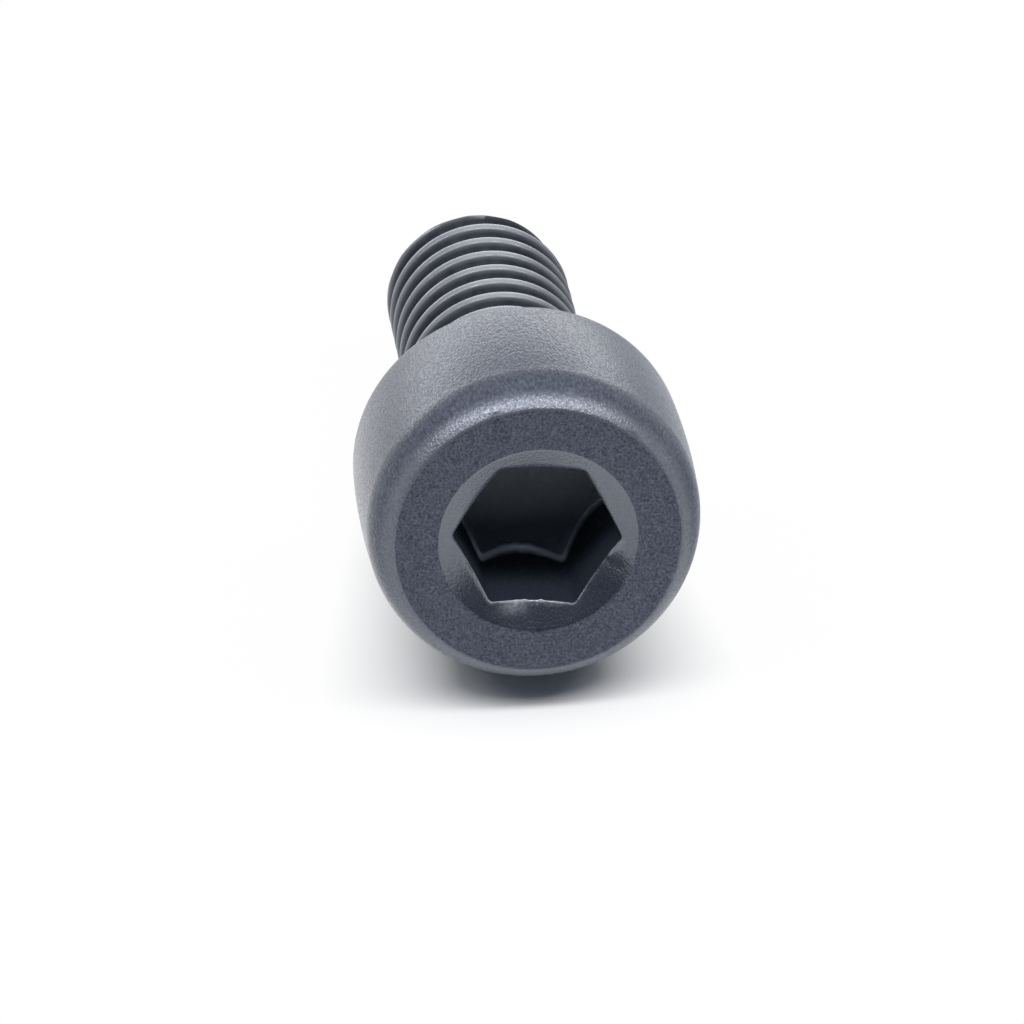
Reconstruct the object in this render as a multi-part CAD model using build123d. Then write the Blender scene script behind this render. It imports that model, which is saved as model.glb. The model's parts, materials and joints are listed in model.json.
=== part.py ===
"""Socket head cap screw, metric coarse thread, threaded right up to the head.

A screw like this is one piece of steel. The head is upset on the end of a rod, a six-sided punch
makes the socket, and the thread is rolled last. Here the screw is built upright, with the seat
under the head in the plane Z = 0 and the thread pointing down. The last step lays it on its side,
as it comes to rest on a table: on the rim of the head and on the end of the thread.
"""

from build123d import *
from math import asin, atan2, ceil, degrees, hypot, radians, sqrt, tan
import os

# ------------------------------------------------------------------ driving dimensions, in mm

# Thread: ISO metric coarse, M4 x 0.7, with 60 degrees between its flanks.
THREAD_DIAMETER = 4.0
THREAD_PITCH = 0.7
CREST_WIDTH = 0.0875  # flat on top of the thread
ROOT_WIDTH = 0.117  # flat at the bottom of the groove
FLANK_ANGLE = 60.0
SCREW_LENGTH = 8.0  # from the seat to the tip, which is how a cap screw's length is stated
TIP_CHAMFER = 0.33  # along the axis; it goes down to the root of the thread

# Neck: the short bare stretch that the thread rolls can't reach, under the head.
NECK_LENGTH = 0.55
FILLET_WIDTH = 0.3  # the transition to the seat is a quarter ellipse, longer than it is wide
FILLET_LENGTH = 0.4

# Head.
HEAD_DIAMETER = 7.0
HEAD_HEIGHT = 4.0
SIDE_BULGE = 0.08  # the upset side swells by this much at mid height
SHOULDER_RADIUS = 1.25  # curved shoulder between the side and the flat crown
SHOULDER_WIDTH = 0.49  # how far the shoulder comes in before the crown cuts it off
RIM_RADIUS = 0.15  # rounded edge round the seat

# Socket.
ACROSS_FLATS = 3.0
SOCKET_TURN = -5.0  # degrees; a socket is punched at no set angle to the thread's start
SOCKET_DEPTH = 2.2  # from the crown to where the corners of the hexagon end
COUNTERSINK_MARGIN = 0.31  # how far the countersink reaches past the corners
COUNTERSINK_ANGLE = 120.0
NOSE_BEVEL_ANGLE = 25.0  # the punch's nose is turned to this angle from its axis
NOSE_BEVEL_DEPTH = 0.55
NOSE_POINT_DEPTH = 0.12  # shallow point that closes the socket

# Room that a cutting or trimming tool has past the surface that it cuts.
TOOL_CLEARANCE = 0.3

# ------------------------------------------------------------------ sizes worked out from them

head_radius = HEAD_DIAMETER / 2
crown_radius = head_radius - SIDE_BULGE - SHOULDER_WIDTH
side_radius = head_radius - SIDE_BULGE

crest_radius = THREAD_DIAMETER / 2
flank_width = (THREAD_PITCH - CREST_WIDTH - ROOT_WIDTH) / 2
thread_depth = flank_width / tan(radians(FLANK_ANGLE / 2))
root_radius = crest_radius - thread_depth
neck_radius = (crest_radius + root_radius) / 2  # rolling starts from a rod of this size
full_thread_end = -(SCREW_LENGTH - TIP_CHAMFER)

corner_radius = ACROSS_FLATS / sqrt(3)
countersink_radius = corner_radius + COUNTERSINK_MARGIN


def revolved(outline):
    """Turn a closed outline, drawn as (radius, height), about the screw's axis."""
    return revolve(Plane.XZ * make_face(outline), Axis.Z)


def head():
    """Turn the head and its neck in one, from the seat over the shoulder to the flat crown."""
    # The shoulder's arc is tangent to the side, so its centre is one radius in from the side.
    across = SHOULDER_RADIUS - SHOULDER_WIDTH
    side_top = HEAD_HEIGHT - sqrt(SHOULDER_RADIUS**2 - across**2)
    side_middle = (RIM_RADIUS + side_top) / 2
    seat_edge = side_radius - RIM_RADIUS
    fillet_edge = neck_radius + FILLET_WIDTH
    core_radius = root_radius - TOOL_CLEARANCE
    core_end = -NECK_LENGTH - (neck_radius - core_radius)
    return revolved([
        RadiusArc((seat_edge, 0), (side_radius, RIM_RADIUS), -RIM_RADIUS),
        ThreePointArc((side_radius, RIM_RADIUS), (head_radius, side_middle), (side_radius, side_top)),
        RadiusArc((side_radius, side_top), (crown_radius, HEAD_HEIGHT), -SHOULDER_RADIUS),
        Polyline((crown_radius, HEAD_HEIGHT), (0, HEAD_HEIGHT), (0, core_end), (core_radius, core_end)),
        Polyline((core_radius, core_end), (neck_radius, -NECK_LENGTH), (neck_radius, -FILLET_LENGTH)),
        EllipticalCenterArc((fillet_edge, -FILLET_LENGTH), FILLET_WIDTH, FILLET_LENGTH, 90, arc_size=90),
        Line((fillet_edge, 0), (seat_edge, 0)),
    ])


def threaded_rod():
    """Build an endless stretch of thread from its own faces, past both ends of the real one.

    Each face is ruled between two helices: the crest, a flank, the root and the other flank, for
    each turn. A screw surface closes each end, with one flat face from the axis to the profile.
    """
    profile = [
        (crest_radius, 0),
        (crest_radius, CREST_WIDTH),
        (root_radius, CREST_WIDTH + flank_width),
        (root_radius, CREST_WIDTH + flank_width + ROOT_WIDTH),
        (crest_radius, THREAD_PITCH),
    ]
    # The last full crest has its lower edge where the tip's chamfer starts.
    turns = ceil(SCREW_LENGTH / THREAD_PITCH) + 2
    bottom = full_thread_end - ceil(TIP_CHAMFER / THREAD_PITCH + 1) * THREAD_PITCH

    def helix(radius, height):
        return Edge.make_helix(THREAD_PITCH, THREAD_PITCH, radius, center=(0, 0, height))

    faces = []
    for turn in range(turns):
        start = bottom + turn * THREAD_PITCH
        edges = [helix(radius, start + height) for radius, height in profile]
        faces += [Face.make_surface_from_curves(low, high) for low, high in zip(edges, edges[1:])]
    for end in (bottom, bottom + turns * THREAD_PITCH):
        axis_line = Edge.make_line((0, 0, end), (0, 0, end + THREAD_PITCH))
        corners = [(0, 0, end)] + [(r, 0, end + z) for r, z in profile] + [(0, 0, end + THREAD_PITCH)]
        faces.append(Face.make_surface_from_curves(axis_line, helix(crest_radius, end)))
        faces.append(make_face(Polyline(*corners, close=True)).face())
    return Solid(Shell(Face.sew_faces(faces)[0]))


def thread():
    """Trim the thread with the turned outline that a real blank has: neck, then tip chamfer."""
    outside = crest_radius + TOOL_CLEARANCE
    inside = neck_radius - TOOL_CLEARANCE
    start = -FILLET_LENGTH
    chamfer_start = full_thread_end + TOOL_CLEARANCE * TIP_CHAMFER / thread_depth
    blank = revolved(Polyline(
        (0, start),
        (inside, start),
        (outside, start - (outside - inside)),
        (outside, chamfer_start),
        (root_radius, -SCREW_LENGTH),
        (0, -SCREW_LENGTH),
        close=True,
    ))
    return threaded_rod() & blank


def socket():
    """Form the punch that makes the socket: countersink, hexagon, bevelled nose and point."""
    mouth = HEAD_HEIGHT
    countersink_depth = countersink_radius / tan(radians(COUNTERSINK_ANGLE / 2))
    bevel_start = mouth - SOCKET_DEPTH
    bevel_end = bevel_start - NOSE_BEVEL_DEPTH
    nose_radius = corner_radius - NOSE_BEVEL_DEPTH * tan(radians(NOSE_BEVEL_ANGLE))
    over = mouth + TOOL_CLEARANCE
    nose = revolved(Polyline(
        (0, over),
        (corner_radius, over),
        (corner_radius, bevel_start),
        (nose_radius, bevel_end),
        (0, bevel_end - NOSE_POINT_DEPTH),
        close=True,
    ))
    tool_top_radius = countersink_radius + TOOL_CLEARANCE * tan(radians(COUNTERSINK_ANGLE / 2))
    countersink = revolved(Polyline((0, over), (tool_top_radius, over), (0, mouth - countersink_depth), close=True))
    hexagon = RegularPolygon(corner_radius, 6, rotation=SOCKET_TURN)
    punch = extrude(Pos(0, 0, over) * hexagon, amount=-2 * HEAD_HEIGHT) & nose
    return punch + countersink


def resting_tilt():
    """Angle between the axis and the table: a line touches the rim's rounding and the last crest."""
    along = RIM_RADIUS - full_thread_end
    across = side_radius - RIM_RADIUS - crest_radius
    return degrees(atan2(across, along) + asin(RIM_RADIUS / hypot(across, along)))


def laid_down(screw):
    """Lay the screw along Y with its crown facing -Y, on the table, centred over the origin."""
    resting = Rot(90 - resting_tilt(), 0, 0) * screw
    box = resting.bounding_box()
    return Pos(-box.center().X, -box.center().Y, -box.min.Z) * resting


# The last full crest starts on +X as built. A quarter turn brings its start underneath, and half
# of the angle that its width takes up brings its middle there, so that it rests on a short line.
crest_angle = 360 * CREST_WIDTH / THREAD_PITCH
screw = head() + Rot(0, 0, crest_angle / 2 - 90) * thread() - socket()
cap_screw = laid_down(screw)

os.makedirs("parts", exist_ok=True)
export_step(cap_screw, "parts/cap_screw.step")
print(f"cap_screw: {cap_screw.volume:.1f} mm3, axis {resting_tilt():.2f} degrees from the table")
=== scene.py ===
# %% [markdown]
# # A socket head cap screw on a white table
#
# A cap screw is one piece of steel. The head is upset on the end of a rod, a six-sided punch makes
# the socket, the thread is rolled, and last of all a grey coating is grown on it in a bath. The CAD
# model has all of that at its real size, but with the flat facets and the sharp corners of a
# drawing. This lesson models the same screw once more as one fine mesh, gives it the grain of the
# coating, and lights it as small things are lit in a studio.

# %% The fixed frame
import json
from math import asin, atan2, cos, degrees, hypot, pi, radians, sin, sqrt, tan

import bmesh
import bpy
from mathutils import Matrix, Vector, noise


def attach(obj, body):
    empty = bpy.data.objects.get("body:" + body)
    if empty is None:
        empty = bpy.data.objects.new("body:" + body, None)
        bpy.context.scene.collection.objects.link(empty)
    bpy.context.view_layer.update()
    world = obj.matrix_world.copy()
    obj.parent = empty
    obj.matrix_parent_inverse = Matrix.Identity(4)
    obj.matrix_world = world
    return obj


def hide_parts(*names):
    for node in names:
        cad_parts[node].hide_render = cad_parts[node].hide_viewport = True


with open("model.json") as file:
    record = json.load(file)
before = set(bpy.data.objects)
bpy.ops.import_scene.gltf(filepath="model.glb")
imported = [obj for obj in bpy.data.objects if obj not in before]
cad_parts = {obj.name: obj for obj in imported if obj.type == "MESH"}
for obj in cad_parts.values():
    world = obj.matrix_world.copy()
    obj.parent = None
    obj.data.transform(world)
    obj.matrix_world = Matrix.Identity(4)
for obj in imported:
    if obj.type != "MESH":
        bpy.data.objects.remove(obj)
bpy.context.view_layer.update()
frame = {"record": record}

# %% [markdown]
# ## Where the screw lies
#
# The record says where the socket's mouth and the thread's tip are, so nothing is placed by eye.
# The screw is modelled upright and in millimetres, with the seat under its head at height 0 and
# the crown on top. One matrix then makes it metres and lays it down where the CAD screw lies.

# %% The axis and the placing matrix
MM = 0.001
mounts = {mount["name"]: mount for mount in frame["record"]["mounts"]}
axis = Vector(mounts["hex_socket"]["axis"])
crown_centre = Vector(mounts["hex_socket"]["pos_m"])
tip_centre = Vector(mounts["thread"]["pos_m"])
SCREW_LENGTH = mounts["thread"]["dims"]["length_mm"]
seat_centre = tip_centre + axis * SCREW_LENGTH * MM
HEAD_HEIGHT = (crown_centre - seat_centre).length / MM

across = Vector((1, 0, 0))
turned = Matrix((across, axis.cross(across), axis)).transposed().to_4x4()
placing = Matrix.Translation(seat_centre) @ turned @ Matrix.Scale(MM, 4)
print(f"axis {degrees(asin(axis.z)):.2f} degrees from the table, head {HEAD_HEIGHT:.2f} mm high")

# %% [markdown]
# ## A pen for outlines
#
# A turned shape starts as half of its outline. A wire of a few points is drawn in the plane of
# radius (X) and height (Z): a straight run is an extruded point, an arc is a point spun about the
# arc's centre, and a small rounding is a bevelled point. These are the moves of a lathe hand, who
# thinks in radii too, so the drawing can be read against a real screw.

# %% The pen
class Pen:
    """Draws a wire in the plane of radius and height, one straight run or arc at a time."""

    def __init__(self, mesh, radius, height):
        self.mesh = mesh
        self.point = mesh.verts.new((radius, 0, height))

    def line(self, radius, height):
        grown = bmesh.ops.extrude_vert_indiv(self.mesh, verts=[self.point])
        self.point = grown["verts"][0]
        self.point.co = (radius, 0, height)
        return self.point

    def arc(self, centre_radius, centre_height, degrees_turned, steps):
        centre = (centre_radius, 0, centre_height)
        angle = radians(degrees_turned)
        grown = bmesh.ops.spin(self.mesh, geom=[self.point], cent=centre, axis=(0, -1, 0),
                               angle=angle, steps=steps)
        self.point = [item for item in grown["geom_last"] if isinstance(item, bmesh.types.BMVert)][0]
        return self.point


def round_points(mesh, points, size, steps):
    """Round the corners of a wire at these points."""
    bmesh.ops.bevel(mesh, geom=points, offset=size, offset_type="OFFSET", segments=steps, profile=0.5,
                    affect="VERTICES", material=-1)


# %% [markdown]
# ## The head
#
# The head of a real cap screw is upset cold, so its side swells a little, a curved shoulder leads
# to a flat crown, and the edge of the crown is crisp. A cylinder with a bevel would have none of
# this. So the outline is drawn with the pen and spun about the screw's axis, from the rim of the
# countersink over the crown, shoulder and side, round under the seat and into the neck.

# %% Sizes of the head
STEPS = 192
HEAD_RADIUS = 3.45
SIDE_BULGE = 0.04
SHOULDER_RADIUS = 1.25
SHOULDER_WIDTH = 0.48
RIM_RADIUS = 0.15
ACROSS_FLATS = 3.0
CORNER_RADIUS = ACROSS_FLATS / sqrt(3)
MOUTH_RADIUS = CORNER_RADIUS + 0.31

side_radius = HEAD_RADIUS - SIDE_BULGE
crown_radius = side_radius - SHOULDER_WIDTH
shoulder_reach = SHOULDER_RADIUS - SHOULDER_WIDTH
side_top = HEAD_HEIGHT - sqrt(SHOULDER_RADIUS**2 - shoulder_reach**2)

# %% Sizes of the thread and the neck
THREAD_RADIUS = 1.95
LENGTH = SCREW_LENGTH + 0.3
PITCH = 0.7
CREST_WIDTH = 0.0875
ROOT_WIDTH = 0.117
flank_width = (PITCH - CREST_WIDTH - ROOT_WIDTH) / 2
ROOT_RADIUS = THREAD_RADIUS - flank_width / tan(radians(30))
NECK_RADIUS = (THREAD_RADIUS + ROOT_RADIUS) / 2
FILLET_WIDTH = 0.3
FILLET_LENGTH = 0.4
NECK_LENGTH = 0.55
TIP_CHAMFER = 0.45
print(f"shoulder starts {side_top:.2f} mm up, thread root radius {ROOT_RADIUS:.3f} mm")

# %% Draw the head's outline
SUPPORT = 0.03
crown_support = crown_radius - 3 * SUPPORT
shoulder_angle = degrees(atan2(HEAD_HEIGHT - side_top, shoulder_reach))
side_half = (side_top - RIM_RADIUS) / 2
bulge_radius = (side_half**2 + SIDE_BULGE**2) / (2 * SIDE_BULGE)
bulge_angle = 2 * degrees(asin(side_half / bulge_radius))


def countersink(radius):
    """Height of the 120 degree countersink at this radius."""
    return HEAD_HEIGHT - (MOUTH_RADIUS - radius) / tan(radians(60))


screw = bmesh.new()
pen = Pen(screw, MOUTH_RADIUS - 2 * SUPPORT, countersink(MOUTH_RADIUS - 2 * SUPPORT))
mouth_edge = pen.line(MOUTH_RADIUS, HEAD_HEIGHT)
pen.line(MOUTH_RADIUS + 2 * SUPPORT, HEAD_HEIGHT)
pen.line(crown_support, HEAD_HEIGHT)
crown_edge = pen.line(crown_radius, HEAD_HEIGHT)
pen.arc(side_radius - SHOULDER_RADIUS, side_top, -shoulder_angle, 24)
pen.arc(HEAD_RADIUS - bulge_radius, RIM_RADIUS + side_half, -bulge_angle, 16)
pen.arc(side_radius - RIM_RADIUS, RIM_RADIUS, -90, 6)
pen.line(side_radius - RIM_RADIUS - SUPPORT, 0)
pen.line(NECK_RADIUS + FILLET_WIDTH + SUPPORT, 0)
pen.line(NECK_RADIUS + FILLET_WIDTH, 0)
pen.arc(NECK_RADIUS + FILLET_WIDTH, -FILLET_WIDTH, 90, 8)
fillet = [point for point in screw.verts if point.co.z < -0.001]
bmesh.ops.scale(screw, vec=(1, 1, FILLET_LENGTH / FILLET_WIDTH), verts=fillet)
pen.line(NECK_RADIUS, -NECK_LENGTH + 2 * SUPPORT)
round_points(screw, [mouth_edge, crown_edge], 0.03, 3)
print(len(screw.verts), "points in the head's outline")

# %% [markdown]
# Spinning the wire once round closes it on itself, so the first and last copies are merged. The
# ring of points is then turned until one point lies on each corner of the hexagon to come.

# %% Spin the head
SOCKET_TURN = -5.0
AXIS = (0, 0, 1)
wire = screw.verts[:] + screw.edges[:]
bmesh.ops.spin(screw, geom=wire, cent=(0, 0, 0), axis=AXIS, angle=2 * pi, steps=STEPS, use_merge=True)
bmesh.ops.rotate(screw, matrix=Matrix.Rotation(radians(SOCKET_TURN), 3, "Z"), verts=screw.verts)
print(len(screw.faces), "faces in the head's skin")

# %% [markdown]
# Screws are tumbled, counted and shipped loose, so the crisp edge of the crown has knocks in it.
# Two small ones near the top are pressed into the edge, a few hundredths of a millimetre deep.

# %% Nicks in the crown's edge
NICK_ANGLES = (106, 48)
NICK_HALF_WIDTH = 2
NICK_DEPTH = 0.035
for point in screw.verts:
    if abs(hypot(point.co.x, point.co.y) - crown_radius) < 0.05 and point.co.z > HEAD_HEIGHT - 0.1:
        angle = degrees(atan2(point.co.y, point.co.x))
        for nick in NICK_ANGLES:
            point.co.z -= NICK_DEPTH * max(0, 1 - abs(angle - nick) / NICK_HALF_WIDTH)

# %% [markdown]
# ## The socket
#
# The countersink is a cone, and the hexagon's walls cut it along six shallow arcs, so the mouth of
# a real socket is wavy when it is looked at from the side. A boolean cut would leave long thin
# triangles there. Instead the ring at the countersink is extruded again and again: each new ring
# has a radius and a height for every angle, first on the cone, then on the hexagon's walls, then
# on the bevelled nose of the punch, and the last one closes at a point.
#
# A punch leaves marks. It tears up a low burr along the lip that it rubs hardest, it dents one
# corner, and it pushes a rounded ledge of metal ahead of its nose. They are a few more rings, moved
# by smooth noise that only acts near the angle where each mark sits.

# %% Rings of the socket
SOCKET_DEPTH = 2.2
NOSE_ANGLE = 25.0
NOSE_DEPTH = 0.55
NOSE_POINT = 0.12
LIP = 0.035
CORNER_CUT = 0.02
BURR_ANGLE = -95
TEAR_ANGLE = -64
DENT_ANGLE = -16
LEDGE_ANGLE = -100
nose_start = HEAD_HEIGHT - SOCKET_DEPTH
nose_end = nose_start - NOSE_DEPTH
nose_radius = CORNER_RADIUS - NOSE_DEPTH * tan(radians(NOSE_ANGLE))


def hexagon(angle):
    """Radius of the hexagon's wall in this direction; the corners are cut a touch short."""
    from_flat = (degrees(angle) - SOCKET_TURN) % 60 - 30
    return min(ACROSS_FLATS / 2 / cos(radians(from_flat)), CORNER_RADIUS - CORNER_CUT)


def nose(radius):
    """Height at which the punch's bevelled nose has this radius."""
    return nose_start - (CORNER_RADIUS - radius) / tan(radians(NOSE_ANGLE))


def boundary_ring(mesh, low, high):
    """The open edges of a mesh between two heights."""
    rim = [edge for edge in mesh.edges if edge.is_boundary]
    return [edge for edge in rim if all(low <= point.co.z <= high for point in edge.verts)]


def extend(mesh, ring, place):
    """Extrude a ring and move each new point to the radius and height that place gives its angle."""
    grown = bmesh.ops.extrude_edge_only(mesh, edges=ring)["geom"]
    for point in [item for item in grown if isinstance(item, bmesh.types.BMVert)]:
        angle = atan2(point.co.y, point.co.x)
        radius, height = place(angle)
        point.co = (radius * cos(angle), radius * sin(angle), height)
    return [item for item in grown if isinstance(item, bmesh.types.BMEdge) and item.is_boundary]


def near(angle, centre, width):
    """1 in this direction (in degrees), and fading to 0 at this many degrees to each side."""
    away = (degrees(angle) - centre + 180) % 360 - 180
    return max(0.0, 1 - (away / width) ** 2)


def uneven(angle, fineness):
    """Smooth noise round the socket, between 0 and 1."""
    return 0.5 + 0.5 * noise.noise(Vector((fineness * cos(angle), fineness * sin(angle), 0)))


def burr(angle):
    """Height of the torn edge that the punch left along the lowest lip."""
    tear = 0.05 * near(angle, TEAR_ANGLE, 4)
    return near(angle, BURR_ANGLE, 32) * (0.01 + 0.06 * uneven(angle, 14)) + tear


def on_cone(share):
    """A place on the countersink, a share of the way from the lip out to its rim."""
    def place(angle):
        inner = hexagon(angle) + LIP + 0.04 * near(angle, DENT_ANGLE, 9)
        radius = inner + share * (MOUTH_RADIUS - 2 * SUPPORT - inner)
        dent = 0.06 * near(angle, DENT_ANGLE, 9) * (1 - share)
        return radius, countersink(radius) - dent
    return place


def on_wall(share):
    """A place on the wall, a share of the way from the lip down to the nose's bevel."""
    def place(angle):
        radius = hexagon(angle)
        top = countersink(radius) - LIP
        return radius, top + share * (nose(radius) + LIP - top)
    return place


def under_nose(inside):
    return lambda angle: (hexagon(angle) - inside, nose(hexagon(angle) - inside))


def circle(radius, height):
    return lambda angle: (radius, height)


def lip(inside, below):
    """A place on the rounded lip, where the torn edge stands up and leans inwards."""
    def place(angle):
        lean = near(angle, BURR_ANGLE, 32) * (0.09 * uneven(angle, 13) - 0.02)
        return hexagon(angle) + inside - lean, countersink(hexagon(angle)) - below + burr(angle)
    return place


def ledge(inside, above):
    """A place on the rounded step of metal that the punch pushed ahead of it."""
    def place(angle):
        swell = 0.6 + near(angle, LEDGE_ANGLE, 42) * (0.4 + 0.6 * uneven(angle, 9))
        return hexagon(angle) - swell * inside, nose(hexagon(angle)) + swell * above
    return place


rings = [on_cone(share) for share in (0.8, 0.6, 0.4, 0.2, 0)]
rings += [lip(0.3 * LIP, 0.1 * LIP), lip(0.05 * LIP, 0.4 * LIP)]
rings += [on_wall(share) for share in (0, 0.25, 0.5, 0.75, 0.9)]
rings += [ledge(0.0, 0.09), ledge(0.01, 0.05), ledge(0.035, 0.02), ledge(0.07, 0.005), ledge(0.09, -0.05)]
rings += [under_nose(0.20)]
rings += [lambda angle: (0.5 * (hexagon(angle) + nose_radius), 0.5 * (nose(hexagon(angle)) + nose_end))]
rings += [circle(nose_radius + 0.02, nose(nose_radius + 0.02)), circle(nose_radius - 0.03, nose_end - 0.01)]
rings += [circle(0.9, nose_end - 0.39 * NOSE_POINT), circle(0.4, nose_end - 0.73 * NOSE_POINT)]
rings += [circle(0.1, nose_end - 0.95 * NOSE_POINT)]

# %% Grow the socket inwards
ring = boundary_ring(screw, 1.0, HEAD_HEIGHT)
for place in rings:
    ring = extend(screw, ring, place)
last_points = list({point for edge in ring for point in edge.verts})
bmesh.ops.pointmerge(screw, verts=last_points, merge_co=(0, 0, nose_end - NOSE_POINT))
print(len(rings), "rings in the socket, bottom", round(HEAD_HEIGHT - nose_end + NOSE_POINT, 2), "mm deep")

# %% [markdown]
# ## The thread
#
# Rolling presses the thread between two dies, so its crests and roots are round and its flanks
# are smooth. A displaced cylinder would blur the 60 degree flanks. The outline of one turn is
# drawn with the pen, from the middle of one root over the crest to the middle of the next, and
# spun with a rise of one pitch a turn. Neighbouring turns then share their roots.

# %% One turn in outline
CREST_ROUNDING = 0.14
# The flanks are straight between the two roundings, so the second follows from the first.
ROOT_ROUNDING = PITCH / 2 / tan(radians(30)) - (THREAD_RADIUS - ROOT_RADIUS) - CREST_ROUNDING
TURNS = 14
CREST_ON_TOP = 0.30 - LENGTH
crest_height = CREST_ON_TOP - PITCH / 4 - 2 * PITCH
flank_foot = (ROOT_RADIUS + ROOT_ROUNDING / 2, PITCH / 2 - ROOT_ROUNDING * cos(radians(30)))
flank_top = (THREAD_RADIUS - CREST_ROUNDING / 2, CREST_ROUNDING * cos(radians(30)))
FLANK_PARTS = 5

thread = bmesh.new()
pen = Pen(thread, ROOT_RADIUS, crest_height - PITCH / 2)
pen.arc(ROOT_RADIUS + ROOT_ROUNDING, crest_height - PITCH / 2, -60, 3)
for part in range(1, FLANK_PARTS + 1):
    share = part / FLANK_PARTS
    radius = flank_foot[0] + share * (flank_top[0] - flank_foot[0])
    pen.line(radius, crest_height - flank_foot[1] - share * (flank_top[1] - flank_foot[1]))
pen.arc(THREAD_RADIUS - CREST_ROUNDING, crest_height, 120, 8)
for part in range(FLANK_PARTS - 1, -1, -1):
    share = part / FLANK_PARTS
    radius = flank_foot[0] + share * (flank_top[0] - flank_foot[0])
    pen.line(radius, crest_height + flank_foot[1] + share * (flank_top[1] - flank_foot[1]))
pen.arc(ROOT_RADIUS + ROOT_ROUNDING, crest_height + PITCH / 2, -60, 3)
print(f"root rounding {ROOT_ROUNDING:.3f} mm, {len(thread.edges)} edges in one turn's outline")

# %% Spin one turn and stack the rest
wire = thread.verts[:] + thread.edges[:]
rise = (0, 0, PITCH / STEPS)
bmesh.ops.spin(thread, geom=wire, cent=(0, 0, 0), axis=AXIS, dvec=rise, angle=2 * pi, steps=STEPS)
one_turn = thread.verts[:] + thread.edges[:] + thread.faces[:]
for turn in range(1, TURNS):
    copied = bmesh.ops.duplicate(thread, geom=one_turn)["geom"]
    points = [item for item in copied if isinstance(item, bmesh.types.BMVert)]
    bmesh.ops.translate(thread, vec=(0, 0, turn * PITCH), verts=points)
bmesh.ops.remove_doubles(thread, verts=thread.verts, dist=0.001)
heights = [point.co.z for point in thread.verts]
print(f"{len(thread.faces)} faces, from {min(heights):.2f} to {max(heights):.2f} mm")

# %% [markdown]
# The blank under the rolls isn't a plain rod: its tip is chamfered down to the root, and under the
# head a short neck stays bare, where the dies can't reach. So every point of the endless thread
# keeps to that turned outline, no further out than the chamfer and the run-out, and no further in
# than the neck. Then two flat cuts take off what is too long.

# %% Keep the thread to the turned blank
RUN_OUT = 0.7
thread_depth = THREAD_RADIUS - ROOT_RADIUS


def blank(height):
    """Smallest and largest radius that the turned blank leaves to the thread at this height."""
    chamfer = ROOT_RADIUS + (height + LENGTH) * thread_depth / TIP_CHAMFER
    run_out = NECK_RADIUS - RUN_OUT - height
    neck = NECK_RADIUS + min(0, height + NECK_LENGTH)
    return neck, min(chamfer, run_out)


for point in thread.verts:
    radius = hypot(point.co.x, point.co.y)
    smallest, largest = blank(point.co.z)
    kept = max(smallest, min(radius, max(largest, 0.5)))
    point.co.xy *= kept / radius


def cut(mesh, height, upward):
    """Cut a mesh flat at this height and drop what is above, or below."""
    everything = mesh.verts[:] + mesh.edges[:] + mesh.faces[:]
    bmesh.ops.bisect_plane(mesh, geom=everything, dist=0.0005, plane_co=(0, 0, height),
                           plane_no=(0, 0, 1 if upward else -1), clear_outer=True)


cut(thread, -NECK_LENGTH + SUPPORT / 2, upward=True)
cut(thread, -LENGTH, upward=False)
print(len(thread.faces), "faces after the cuts")

# %% [markdown]
# The rolls drag the surface along faster than the middle of the rod, which leaves a shallow dish
# in the tip. The open end is extruded inwards in rings as the socket was, and closed at a point.

# %% Close the tip
DISH = 0.12
ring = boundary_ring(thread, -LENGTH - 0.01, -LENGTH + 0.01)
for radius, depth in ((1.3, 0.0), (1.2, 0.02), (0.9, 0.55), (0.5, 0.85), (0.15, 1.0)):
    ring = extend(thread, ring, circle(radius, -LENGTH + depth * DISH))
last_points = list({point for edge in ring for point in edge.verts})
bmesh.ops.pointmerge(thread, verts=last_points, merge_co=(0, 0, -LENGTH + DISH))

# %% [markdown]
# ## One mesh
#
# The thread is poured into the head's mesh, and the narrow gap in the neck is bridged. Faces get
# one of four finishes by where they are: the grainy head, the countersink, which the punch has
# smoothed, the inside of the socket and the thread.

# %% Join head and thread
thread_mesh = bpy.data.meshes.new("thread")
thread.to_mesh(thread_mesh)
thread.free()
screw.from_mesh(thread_mesh)
bpy.data.meshes.remove(thread_mesh)
gap = boundary_ring(screw, -NECK_LENGTH - 0.01, -NECK_LENGTH + 3 * SUPPORT)
bmesh.ops.bridge_loops(screw, edges=gap)
open_edges = [edge for edge in screw.edges if not edge.is_manifold]
print(len(gap), "edges round the gap,", len(open_edges), "edges left open")

HEAD, SINK, SOCKET, THREAD = range(4)
for face in screw.faces:
    centre = face.calc_center_median()
    radius = hypot(centre.x, centre.y)
    deep = centre.z > 0 and radius < hexagon(atan2(centre.y, centre.x)) + 0.01
    conical = HEAD_HEIGHT - 0.3 < centre.z < HEAD_HEIGHT and radius < MOUTH_RADIUS
    face.material_index = THREAD if centre.z < -0.3 else SOCKET if deep else SINK if conical else HEAD
    face.smooth = True

# %% [markdown]
# The coating is thin, and it wears through where the screw touches its neighbours or a key: on the
# crests of the thread, round the shoulder beside the crown, on the rim of the seat, and along the
# lip of the socket. The same number also carries painted highlights: the crests are lighter along
# the top of the lying screw, the shoulder band is made lighter where the strip lamp's highlight
# falls, the top of the countersink is lighter, and the punch's ledge and the floor of the socket
# are lightened towards white. How bare the steel is, with these painted highlights, goes on each
# point as one number, because the shape knows better than any noise where the high places are.
# The finishes read it later.

# %% Where the steel is rubbed bare, and where highlights are painted
def ramp(value, low, high):
    """From 0 at low to 1 at high, and held beyond."""
    return max(0.0, min(1.0, (value - low) / (high - low)))


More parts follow.
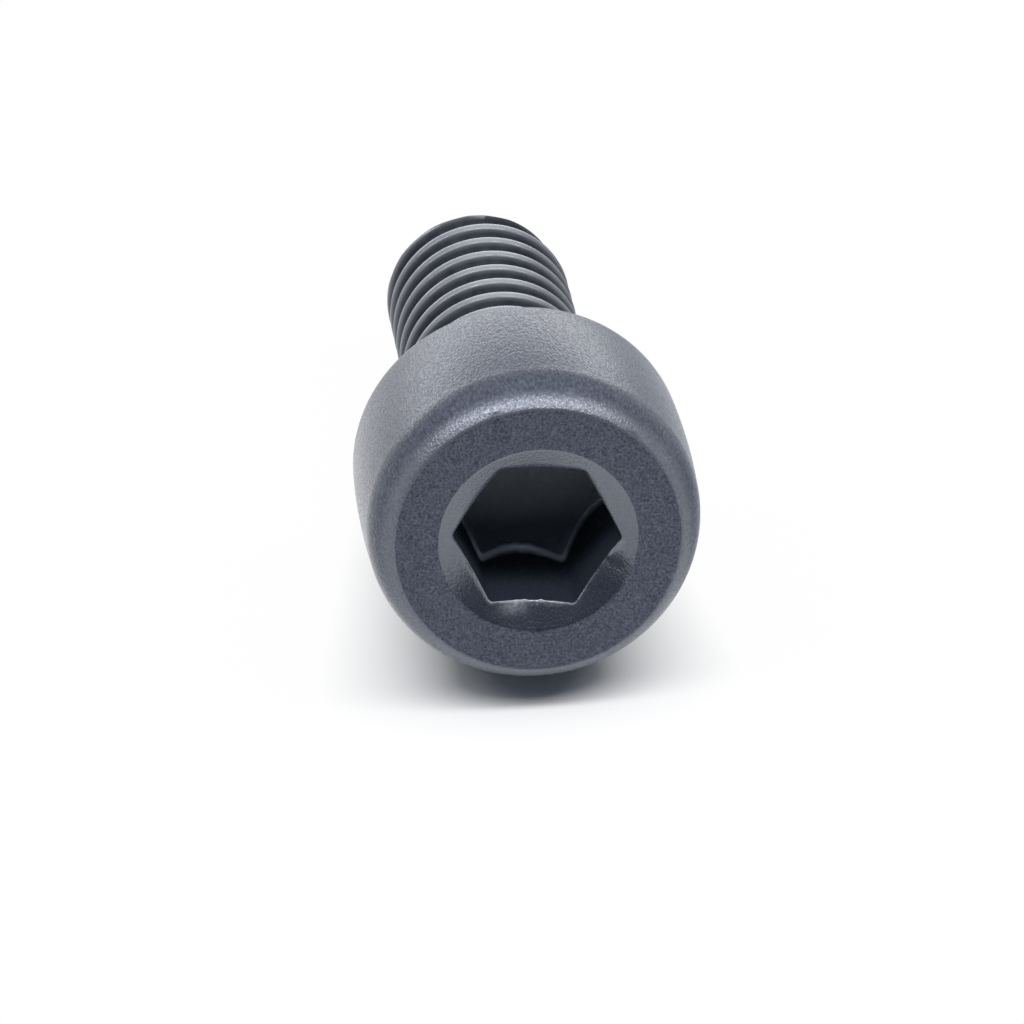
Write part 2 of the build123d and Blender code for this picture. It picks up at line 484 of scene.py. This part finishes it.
def bareness_and_highlight(radius, height, angle):
    """How bare the steel is at this place, from 0 to 1, with painted highlights added in a few places."""
    wall = hexagon(angle)
    if height < -NECK_LENGTH:
        turns = (height - crest_height) / PITCH - angle / (2 * pi)
        off_crest = abs((turns + 0.5) % 1 - 0.5)
        on_crest = ramp(off_crest, 0.20, 0.03) * ramp(radius, THREAD_RADIUS - 0.25, THREAD_RADIUS - 0.1)
        # Partly wear, partly painted highlight: the crests are lighter than the flanks, and lightest along
        # the top of the lying screw.
        return (0.65 + 0.35 * near(angle, 84, 30)) * on_crest
    if height < 2 * RIM_RADIUS and radius > side_radius - RIM_RADIUS:
        return 0.3 * ramp(height, 2 * RIM_RADIUS, 0)
    if height > side_top and radius > crown_radius - 0.02:
        off_axis = degrees(asin(min(1, (radius - side_radius + SHOULDER_RADIUS) / SHOULDER_RADIUS)))
        # Partly wear, partly painted highlight: the band beside the crown's edge is made lighter to
        # brighten the strip lamp's highlight there.
        return 0.37 * ramp(off_axis, 60, 46)
    if 0 < height < nose(wall) + 0.17 and radius < wall + 0.01:
        on_ledge = ramp(abs(height - nose(wall) - 0.04), 0.09, 0.05)
        on_ledge *= ramp(radius, wall - 0.21, wall - 0.17)
        on_ledge *= 0.3 + 0.7 * near(angle, LEDGE_ANGLE, 42)
        # Painted light: the whole floor of the socket is lightened, and the punch's ledge, lowest side
        # most, goes near white as a painted highlight.
        return 0.2 + 0.8 * on_ledge
    if countersink(wall) - 0.6 * LIP < height and radius < MOUTH_RADIUS:
        from_lip = max(0, radius - wall)
        edge = ramp(from_lip, 0.05, 0.0) * (0.9 * near(angle, BURR_ANGLE, 38) + 0.5 * near(angle, -150, 30))
        streak = 0.85 * near(angle, -108, 14) ** 2 * ramp(from_lip, 0.30, 0.02)
        corner = 0.4 * near(angle, -14, 9) * ramp(from_lip, 0.15, 0.05)
        # Painted light: the upper half of the countersink is made lighter.
        upper = 0.16 * near(angle, 100, 100)
        return upper + max(edge, streak, corner) * (0.35 + 0.65 * uneven(angle, 25))
    return 0.0


bare_and_highlight = screw.verts.layers.float.new("bare_and_highlight")
for point in screw.verts:
    angle = atan2(point.co.y, point.co.x)
    point[bare_and_highlight] = bareness_and_highlight(hypot(point.co.x, point.co.y), point.co.z, angle)
print(sum(point[bare_and_highlight] > 0.5 for point in screw.verts), "points rubbed bare")

# %% Lay the screw down
bmesh.ops.transform(screw, matrix=placing, verts=screw.verts)
bmesh.ops.recalc_face_normals(screw, faces=screw.faces)
screw_mesh = bpy.data.meshes.new("steel_cap_screw")
screw.to_mesh(screw_mesh)
screw.free()
screw_mesh.set_sharp_from_angle(angle=radians(35))
cap_screw = bpy.data.objects.new("steel_cap_screw", screw_mesh)
bpy.context.scene.collection.objects.link(cap_screw)
print(len(screw_mesh.polygons), "faces in all")

# %% [markdown]
# ## Shader arithmetic
#
# A finish is mostly sums of noise. Written as plain expressions they can be read like the rest of
# the script, so one small class wraps a node's output and adds a Math node for every sign. Every
# other kind of node comes from one method, which sets the node's settings before its inputs.

# %% Values and nodes
class Value:
    """A number on a wire. Arithmetic with it adds Math nodes."""

    def __init__(self, finish, socket):
        self.finish = finish
        self.socket = socket

    def math(self, operation, first, second):
        return self.finish.node("ShaderNodeMath", {"operation": operation}, {0: first, 1: second})

    def __add__(self, other):
        return self.math("ADD", self, other)

    def __radd__(self, other):
        return self.math("ADD", other, self)

    def __sub__(self, other):
        return self.math("SUBTRACT", self, other)

    def __rsub__(self, other):
        return self.math("SUBTRACT", other, self)

    def __mul__(self, other):
        return self.math("MULTIPLY", self, other)

    def __rmul__(self, other):
        return self.math("MULTIPLY", other, self)

    def __truediv__(self, other):
        return self.math("DIVIDE", self, other)

    def __pow__(self, other):
        return self.math("POWER", self, other)


class Finish:
    """A material with one Principled shader, and the nodes that feed it."""

    def __init__(self, name):
        self.material = bpy.data.materials.new(name)
        self.material.use_nodes = True
        self.tree = self.material.node_tree
        self.tree.nodes.clear()
        self.shader = self.node("ShaderNodeBsdfPrincipled", {}, {})
        self.end = self.tree.nodes.new("ShaderNodeOutputMaterial")
        self.set_input(self.end, "Surface", self.shader)
        self.place = self.node("ShaderNodeTexCoord", {}, {}, "Object")

    def set_input(self, node, name, value):
        if isinstance(value, Value):
            self.tree.links.new(value.socket, node.inputs[name])
        else:
            node.inputs[name].default_value = value

    def node(self, kind, settings, inputs, output=0):
        """Add a node: first its settings, then its inputs. Returns the named output."""
        made = self.tree.nodes.new(kind)
        for name, value in settings.items():
            setattr(made, name, value)
        for name, value in inputs.items():
            self.set_input(made, name, value)
        return Value(self, made.outputs[output]) if made.outputs else None

    def noise(self, size_mm, detail=2.0, roughness=0.5, where=None):
        """Noise between 0 and 1 whose lumps are about this size."""
        inputs = {"Vector": where or self.place, "Scale": 1 / (size_mm * MM)}
        inputs |= {"Detail": detail, "Roughness": roughness}
        return self.node("ShaderNodeTexNoise", {}, inputs, "Fac")

    def colour_mix(self, factor, first, second):
        made = self.tree.nodes.new("ShaderNodeMix")
        made.data_type = "RGBA"
        self.set_input(made, "Factor", factor)
        self.set_input(made, 6, first)
        self.set_input(made, 7, second)
        return Value(self, made.outputs[2])

    def remap(self, value, low, high, to_low=0.0, to_high=1.0):
        """Stretch the part of value from low to high, and hold the ends."""
        inputs = {"Value": value, "From Min": low, "From Max": high, "To Min": to_low, "To Max": to_high}
        return self.node("ShaderNodeMapRange", {}, inputs)

    def surface(self, **inputs):
        for name, value in inputs.items():
            label = name.replace("_", " ").title().replace("Ior", "IOR")
            self.set_input(self.shader.socket.node, label, value)


# %% [markdown]
# ## The grainy coating
#
# A phosphate coating is a layer of tiny crystals, darker and duller than steel, and each crystal
# faces its own way. Seen closely it glitters faintly in grey and blue grey. Noise with lumps of a
# few hundredths of a millimetre tilts the surface and speckles its colour, its gloss and a little
# its metal, and wider noise keeps the tone from being quite even, as handling does. The wire was
# drawn before the head was upset, so the lumps are stretched along the screw. Where the steel is
# bare, and where a highlight is painted, the colour goes over to a lighter tone: that of steel,
# and near white in the socket.
#
# The four finishes are one recipe with other numbers. The countersink is burnished by the punch
# and mirrors more, the socket is dull and dark but for its painted highlights, and the rolled
# thread has no grain to speak of.

# %% Grain of the head
BARE_STEEL_AND_HIGHLIGHT = (0.30, 0.31, 0.34, 1)
BARE_ROUGHNESS = 0.3


def grained(name, dark, light, rubbed_and_highlight_colour, grain_mm, grain_depth_mm, roughness, ior, glitter, shine, sheen):
    finish = Finish(name)
    stretched = {0: finish.place, 1: (1, 0.5, 1)}
    drawn_out = finish.node("ShaderNodeVectorMath", {"operation": "MULTIPLY"}, stretched)
    fine = finish.noise(grain_mm, detail=2.0, roughness=0.5, where=drawn_out)
    wide = finish.noise(0.9, detail=3.0)
    crystal = finish.remap(fine, 0.30, 0.73)
    tone = crystal * (0.7 + 0.6 * wide)
    bump_inputs = {"Height": fine, "Strength": 1.0, "Distance": grain_depth_mm * MM}
    bump = finish.node("ShaderNodeBump", {}, bump_inputs)
    bare_and_highlight = finish.node("ShaderNodeAttribute", {"attribute_name": "bare_and_highlight"}, {}, "Fac")
    coated = finish.colour_mix(tone, dark, light)
    # The attribute lightens the colour both where the steel is rubbed and where a highlight is painted.
    colour = finish.colour_mix(bare_and_highlight, coated, rubbed_and_highlight_colour)
    rough = roughness * (1 - bare_and_highlight) + BARE_ROUGHNESS * bare_and_highlight + 0.06 * wide + 0.18 * (1 - crystal)
    metal = shine * bare_and_highlight + glitter * crystal
    finish.surface(base_color=colour, metallic=metal, roughness=rough, normal=bump, ior=ior)
    finish.surface(specular_tint=(0.86, 0.91, 1, 1), sheen_weight=sheen, sheen_roughness=0.3)
    return finish.material


# Each last tone serves rubbed steel and painted highlights; the socket's is near white, for the painted
# highlight on its ledge and the painted light on its floor.
head_tones = ((0.008, 0.012, 0.032, 1), (0.105, 0.115, 0.155, 1), BARE_STEEL_AND_HIGHLIGHT)
sink_tones = ((0.003, 0.005, 0.014, 1), (0.07, 0.08, 0.11, 1), (0.55, 0.58, 0.64, 1))
socket_tones = ((0.016, 0.022, 0.034, 1), (0.026, 0.033, 0.050, 1), (0.92, 0.95, 1, 1))
thread_tones = ((0.016, 0.018, 0.026, 1), (0.03, 0.032, 0.042, 1), (0.43, 0.44, 0.47, 1))
head_finish = grained("phosphated_steel", *head_tones, grain_mm=0.050, grain_depth_mm=0.011,
                      roughness=0.14, ior=1.55, glitter=0.2, shine=0.8, sheen=0.55)
sink_finish = grained("punched_countersink", *sink_tones, grain_mm=0.055, grain_depth_mm=0.007,
                      roughness=0.10, ior=2.3, glitter=0.3, shine=0.8, sheen=0.0)
socket_finish = grained("punched_socket", *socket_tones, grain_mm=0.08, grain_depth_mm=0.001,
                        roughness=0.45, ior=1.35, glitter=0.1, shine=0.2, sheen=0.0)
thread_finish = grained("rolled_thread", *thread_tones, grain_mm=0.3, grain_depth_mm=0.001,
                        roughness=0.20, ior=1.6, glitter=0.1, shine=0.8, sheen=0.3)
for finish in (head_finish, sink_finish, socket_finish, thread_finish):
    cap_screw.data.materials.append(finish)

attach(cap_screw, "root")
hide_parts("cap_screw")
print([material.name for material in cap_screw.data.materials])

# %% [markdown]
# ## Camera
#
# Small hardware is taken from well back with a long lens, so that near and far parts keep almost
# the same scale. The camera stands a little to the left of the screw's line and looks down on the
# crown. It is placed by its two angles and its distance from the crown's centre.

# %% Camera
CAMERA_ELEVATION = 36.6
CAMERA_SIDE = 6.3
CAMERA_DISTANCE = 161.4 * MM
CAMERA_LENS = 281.25
AIM_LEFT = 0.535 * MM
AIM_UP = 0.583 * MM

lift = radians(CAMERA_ELEVATION)
side = radians(CAMERA_SIDE)
forward = Vector((sin(side) * cos(lift), cos(side) * cos(lift), -sin(lift)))
right = forward.cross(Vector((0, 0, 1))).normalized()
above = right.cross(forward)
camera_data = bpy.data.cameras.new("long_lens")
camera_data.lens = CAMERA_LENS
camera_data.clip_start = 0.01
camera_data.clip_end = 10
camera = bpy.data.objects.new("long_lens", camera_data)
bpy.context.scene.collection.objects.link(camera)
camera.location = crown_centre - right * AIM_LEFT + above * AIM_UP - forward * CAMERA_DISTANCE
camera.rotation_mode = "QUATERNION"
camera.rotation_quaternion = forward.to_track_quat("-Z", "Y")
bpy.context.scene.camera = camera
print("camera at", [round(1000 * value, 1) for value in camera.location], "mm")

# %% [markdown]
# ## Table, room and lamps
#
# The screw lies on a white sheet in a bright room. The sheet keeps its soft shadow near the screw,
# and further off a painted white glow, shaped round the screw, takes over and paints out the shadow.
# That even white is only for the camera and for reflections, so it puts no light on the screw.

# %% Table
HALF_LENGTH = 5
END_SHORTENING = 2.1
FADE_START = 1.4
FADE_END = 4.4
SHEET_GLOW = 0.97
floor_mesh = bpy.data.meshes.new("table")
floor_shape = bmesh.new()
bmesh.ops.create_grid(floor_shape, x_segments=1, y_segments=1, size=1.5)
floor_shape.to_mesh(floor_mesh)
floor_shape.free()
table = bpy.data.objects.new("table", floor_mesh)
bpy.context.scene.collection.objects.link(table)
white = Finish("lit_sheet")
white.surface(base_color=(0.95, 0.95, 0.95, 1), roughness=0.9)
x = white.node("ShaderNodeSeparateXYZ", {}, {"Vector": white.place}, "X") / MM + 0.1
y = white.node("ShaderNodeSeparateXYZ", {}, {"Vector": white.place}, "Y") / MM
past_end = END_SHORTENING * (y - white.remap(y, -HALF_LENGTH, HALF_LENGTH, -HALF_LENGTH, HALF_LENGTH))
from_screw = (x * x + past_end * past_end) ** 0.5
shadow_reach = white.remap(y, -HALF_LENGTH, HALF_LENGTH, 1, 0.5)
away = white.remap(from_screw / shadow_reach, FADE_START, FADE_END)
camera_ray = white.node("ShaderNodeLightPath", {}, {}, "Is Camera Ray")
glossy_ray = white.node("ShaderNodeLightPath", {}, {}, "Is Glossy Ray")
glow = white.node("ShaderNodeEmission", {}, {"Strength": 1.0})
# Painted light: away from the screw the sheet glows white for the camera and for reflections.
mixed = {0: SHEET_GLOW * away * (camera_ray + glossy_ray), 1: white.shader, 2: glow}
white.set_input(white.end, "Surface", white.node("ShaderNodeMixShader", {}, mixed))
table.data.materials.append(white.material)

# %% [markdown]
# A long strip lamp hangs overhead and a little in front. It draws the bright band on the shoulder.
# A large dim box behind it fills the shadows with bluish light, and a low lamp far behind lightens
# the top of the side. Two cards only show as reflections: a dark one in front keeps the lower half
# of the countersink dark, and a grey one on the right keeps that side from glaring.

# %% Lamps
def soft_lamp(name, place, toward, width, depth, power):
    data = bpy.data.lights.new(name, "AREA")
    data.shape = "RECTANGLE"
    data.size = width
    data.size_y = depth
    data.energy = power
    lamp = bpy.data.objects.new(name, data)
    lamp.location = place
    lamp.rotation_mode = "QUATERNION"
    lamp.rotation_quaternion = (Vector(toward) - Vector(place)).to_track_quat("-Z", "Y")
    bpy.context.scene.collection.objects.link(lamp)
    return lamp


def lamp_power(radiance, width, depth):
    """Power of a lamp whose face has this radiance."""
    return radiance * pi * width * depth


LAMP_HEIGHT = 0.30
STRIP_AHEAD = 0.075
STRIP_LENGTH = 0.68
STRIP_WIDTH = 0.055
strip_place = (0, -STRIP_AHEAD, LAMP_HEIGHT)
strip_power = lamp_power(9.8, STRIP_LENGTH, STRIP_WIDTH)
soft_lamp("overhead_strip", strip_place, (0, -STRIP_AHEAD, 0), STRIP_LENGTH, STRIP_WIDTH, strip_power)
BOX_LENGTH = 0.56
BOX_WIDTH = 0.44
box_place = (0, 0, LAMP_HEIGHT + 0.02)
box_power = lamp_power(0.52, BOX_LENGTH, BOX_WIDTH)
box = soft_lamp("overhead_box", box_place, (0, 0, 0), BOX_LENGTH, BOX_WIDTH, box_power)
box.data.color = (0.82, 0.9, 1)
BACK_LENGTH = 0.75
BACK_WIDTH = 0.13
back_place = (-0.05, 0.5, 0.065)
back_power = lamp_power(2.2, BACK_LENGTH, BACK_WIDTH)
soft_lamp("back", back_place, (0, 0, 0), BACK_LENGTH, BACK_WIDTH, back_power)

# %% Cards
def hidden_card(name, width, depth, upright, place, tone):
    """A card that only shows as a reflection in the steel."""
    shape = bmesh.new()
    bmesh.ops.create_grid(shape, x_segments=1, y_segments=1, size=0.5)
    bmesh.ops.scale(shape, vec=(width, depth, 1), verts=shape.verts)
    lean = Matrix.Rotation(radians(-90 if upright else 0), 3, "X")
    bmesh.ops.rotate(shape, matrix=lean, verts=shape.verts)
    bmesh.ops.translate(shape, vec=place, verts=shape.verts)
    mesh = bpy.data.meshes.new(name)
    shape.to_mesh(mesh)
    shape.free()
    card = bpy.data.objects.new(name, mesh)
    bpy.context.scene.collection.objects.link(card)
    paper = Finish(name + "_paper")
    paper.surface(base_color=tone, roughness=0.9)
    card.data.materials.append(paper.material)
    card.visible_camera = False
    card.visible_diffuse = False
    card.visible_shadow = False


hidden_card("dark_card", 1.6, 0.6, True, (0, -0.42, 0.31), (0.02, 0.02, 0.025, 1))
hidden_card("grey_card", 0.032, 0.042, False, (0.0186, 0.017, 0.0002), (0.45, 0.46, 0.5, 1))

# %% [markdown]
# The room is white to the camera and to reflections at strength 1. As a lamp it is far weaker and
# a little blue, like daylight that comes in from the side.

# %% Room
world = bpy.data.worlds.new("room")
bpy.context.scene.world = world
world.use_nodes = True
tree = world.node_tree
tree.nodes.clear()
path = tree.nodes.new("ShaderNodeLightPath")
shade = tree.nodes.new("ShaderNodeBackground")
shade.inputs["Color"].default_value = (0.6, 0.75, 1, 1)
shade.inputs["Strength"].default_value = 0.09
bright = tree.nodes.new("ShaderNodeBackground")
bright.inputs["Color"].default_value = (1, 1, 1, 1)
seen = tree.nodes.new("ShaderNodeMath")
seen.operation = "MAXIMUM"
mix = tree.nodes.new("ShaderNodeMixShader")
out = tree.nodes.new("ShaderNodeOutputWorld")
tree.links.new(path.outputs["Is Camera Ray"], seen.inputs[0])
tree.links.new(path.outputs["Is Glossy Ray"], seen.inputs[1])
tree.links.new(seen.outputs[0], mix.inputs["Fac"])
tree.links.new(shade.outputs[0], mix.inputs[1])
tree.links.new(bright.outputs[0], mix.inputs[2])
tree.links.new(mix.outputs[0], out.inputs["Surface"])
bpy.context.scene.view_settings.view_transform = "Standard"
